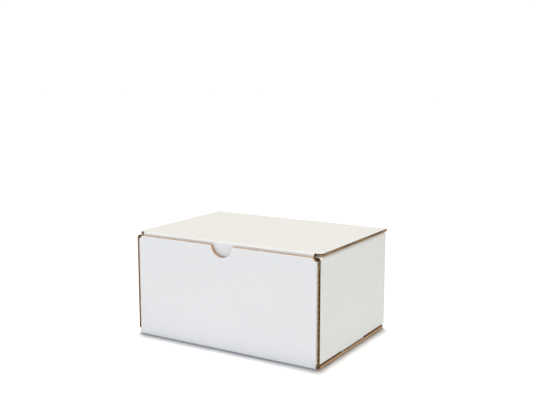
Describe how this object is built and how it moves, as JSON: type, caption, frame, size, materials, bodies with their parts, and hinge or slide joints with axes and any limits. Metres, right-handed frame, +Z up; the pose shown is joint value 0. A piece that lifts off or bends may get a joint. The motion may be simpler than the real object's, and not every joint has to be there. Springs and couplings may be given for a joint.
{
  "type": "corrugated mailer box",
  "caption": "White corrugated mailer box with rolled double side walls, a hinged lid with a tuck flap and a half-round thumb notch; holds and ships small goods.",
  "frame": {"origin": "middle of the underside of the closed box, at the level of the surface it stands on", "axes": "+Z up, front panel with the thumb notch facing -Y, width along X"},
  "size_m": [0.224, 0.159, 0.1126],
  "materials": {
    "board": "matt white outer liner over a kraft fluting medium and a kraft inner liner"
  },
  "bodies": {
    "tray": {"tray": "board"},
    "lid": {"lid": "board"}
  },
  "joints": [
    {"name": "lid_hinge", "type": "hinge", "parent": "tray", "child": "lid", "pos_m": [0, 0.078, 0.1111], "axis": [-1, 0, 0], "range_deg": [0, 220]}
  ]
}
